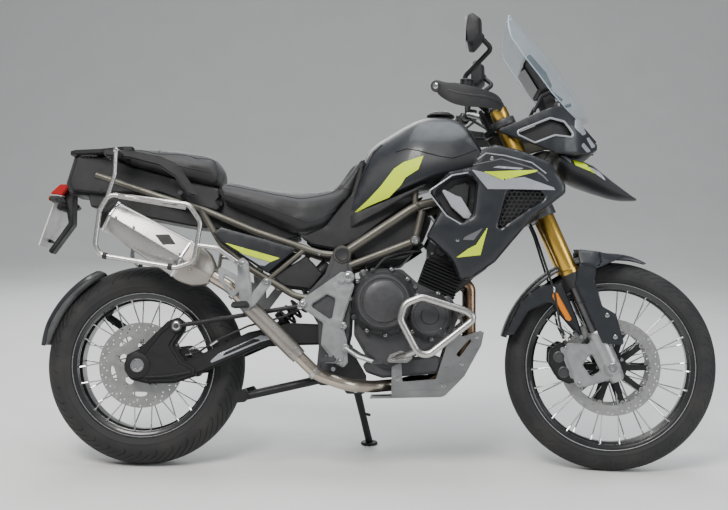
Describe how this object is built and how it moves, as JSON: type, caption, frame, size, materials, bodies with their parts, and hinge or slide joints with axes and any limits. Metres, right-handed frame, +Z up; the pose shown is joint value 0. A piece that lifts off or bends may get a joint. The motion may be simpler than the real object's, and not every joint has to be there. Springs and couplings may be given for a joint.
{
  "type": "adventure motorcycle",
  "caption": "Tall touring motorcycle parked on its side stand: steel tube frame, wire-spoke wheels, beak and screen, pannier racks, crash bars, working steering, wheels and stands.",
  "frame": {"origin": "on the ground below the middle of the machine's box", "axes": "+X forward along the machine, +Y to the rider's left, which is the side it leans to, +Z up"},
  "size_m": [2.2656, 0.9099, 1.5292],
  "materials": {
    "frame_paint": "satin grey-bronze paint",
    "engine_metal": "dark grey cast aluminium",
    "cylinder_metal": "black painted ribbed casting",
    "radiator_metal": "matt black core",
    "tank_paint": "matt blue-black paint with a yellow-green blade stripe",
    "panel_plastic": "matt black plastic",
    "shroud_plastic": "matt dark grey plastic with yellow-green wedges",
    "seat_vinyl": "grained matt black vinyl",
    "pillion_vinyl": "grained matt black vinyl",
    "carrier_plastic": "satin black",
    "tail_plastic": "grained black plastic",
    "lamp_red": "red lens",
    "plate_white": "blank light plate",
    "rack_steel": "bright steel tube",
    "silencer_steel": "brushed steel with a dark end cap",
    "pipe_steel": "steel with heat tint",
    "cast_alloy": "bare cast aluminium",
    "control_alloy": "cast aluminium",
    "hanger_alloy": "black cast aluminium",
    "swingarm_metal": "black cast aluminium",
    "rod_metal": "black rod",
    "caliper_metal": "dark anodised",
    "axle_steel": "plated steel",
    "hugger_plastic": "grained black plastic",
    "shock_metal": "black coil spring",
    "crash_steel": "brushed steel tube",
    "skid_alloy": "brushed aluminium sheet",
    "nose_plastic": "dark grey plastic",
    "lamp_glass": "clear lens",
    "beak_plastic": "dark grey plastic",
    "screen_clear": "clear, slightly blue",
    "display_plastic": "black case with a dark screen",
    "yoke_alloy": "black forged aluminium",
    "fork_gold": "gold anodised",
    "fork_alloy": "cast aluminium and bright slider",
    "hose_rubber": "black hose",
    "fender_plastic": "matt grey plastic",
    "bar_metal": "black anodised",
    "grip_rubber": "ribbed black rubber",
    "control_plastic": "black",
    "guard_plastic": "black plastic",
    "mirror_plastic": "black",
    "tyre_rubber": "black rubber",
    "rim_metal": "black rim with bright spokes",
    "disc_steel": "drilled steel",
    "stand_metal": "black"
  },
  "bodies": {
    "chassis": {"main_frame": "frame_paint", "subframe": "frame_paint", "engine_block": "engine_metal", "cylinder_block": "cylinder_metal", "radiators": "radiator_metal", "fuel_tank": "tank_paint", "side_panels": "panel_plastic", "shrouds": "shroud_plastic", "rider_seat": "seat_vinyl", "pillion_seat": "pillion_vinyl", "rear_carrier": "carrier_plastic", "tail_unit": "tail_plastic", "tail_lamp": "lamp_red", "number_plate": "plate_white", "pannier_racks": "rack_steel", "silencer": "silencer_steel", "exhaust_pipes": "pipe_steel", "footrest_plates": "cast_alloy", "foot_controls": "control_alloy", "passenger_footrests": "hanger_alloy", "swingarm": "swingarm_metal", "torque_rod": "rod_metal", "rear_caliper": "caliper_metal", "rear_axle": "axle_steel", "rear_hugger": "hugger_plastic", "shock_absorber": "shock_metal", "crash_bars": "crash_steel", "skid_plate": "skid_alloy", "nose_cowl": "nose_plastic", "headlamps": "lamp_glass", "beak": "beak_plastic", "windscreen": "screen_clear", "display": "display_plastic"},
    "front_end": {"fork_yokes": "yoke_alloy", "fork_tubes": "fork_gold", "fork_legs": "fork_alloy", "front_calipers": "caliper_metal", "brake_hoses": "hose_rubber", "front_axle": "axle_steel", "front_fender": "fender_plastic", "handlebar": "bar_metal", "grips": "grip_rubber", "hand_controls": "control_plastic", "handguards": "guard_plastic", "mirrors": "mirror_plastic"},
    "front_wheel": {"front_tyre": "tyre_rubber", "front_rim": "rim_metal", "front_discs": "disc_steel"},
    "rear_wheel": {"rear_tyre": "tyre_rubber", "rear_rim": "rim_metal", "rear_disc": "disc_steel"},
    "side_stand": {"side_stand": "stand_metal"},
    "centre_stand": {"centre_stand": "stand_metal"}
  },
  "joints": [
    {"name": "steering", "type": "hinge", "parent": "chassis", "child": "front_end", "pos_m": [0.61664, -0.1017, 0.63243], "axis": [-0.4019, 0.159, 0.9018], "range_deg": [-32, 44]},
    {"name": "front_wheel_spin", "type": "hinge", "parent": "front_end", "child": "front_wheel", "pos_m": [0.78581, -0.15649, 0.34401], "axis": [0.0957, 0.9867, -0.1313], "continuous": true},
    {"name": "rear_wheel_spin", "type": "hinge", "parent": "chassis", "child": "rear_wheel", "pos_m": [-0.774, -0.15509, 0.32963], "axis": [0, 0.9848, -0.1736], "continuous": true},
    {"name": "side_stand_fold", "type": "hinge", "parent": "chassis", "child": "side_stand", "pos_m": [-0.069, -0.00009, 0.2297], "axis": [0, 0.9426, 0.3338], "range_deg": [0, 90], "stiffness_Nm_per_rad": 6, "springref_deg": -28.65},
    {"name": "centre_stand_drop", "type": "hinge", "parent": "chassis", "child": "centre_stand", "pos_m": [-0.162, -0.1616, 0.2927], "axis": [0, -0.9848, 0.1736], "range_deg": [0, 84], "stiffness_Nm_per_rad": 16, "springref_deg": -45.84}
  ]
}
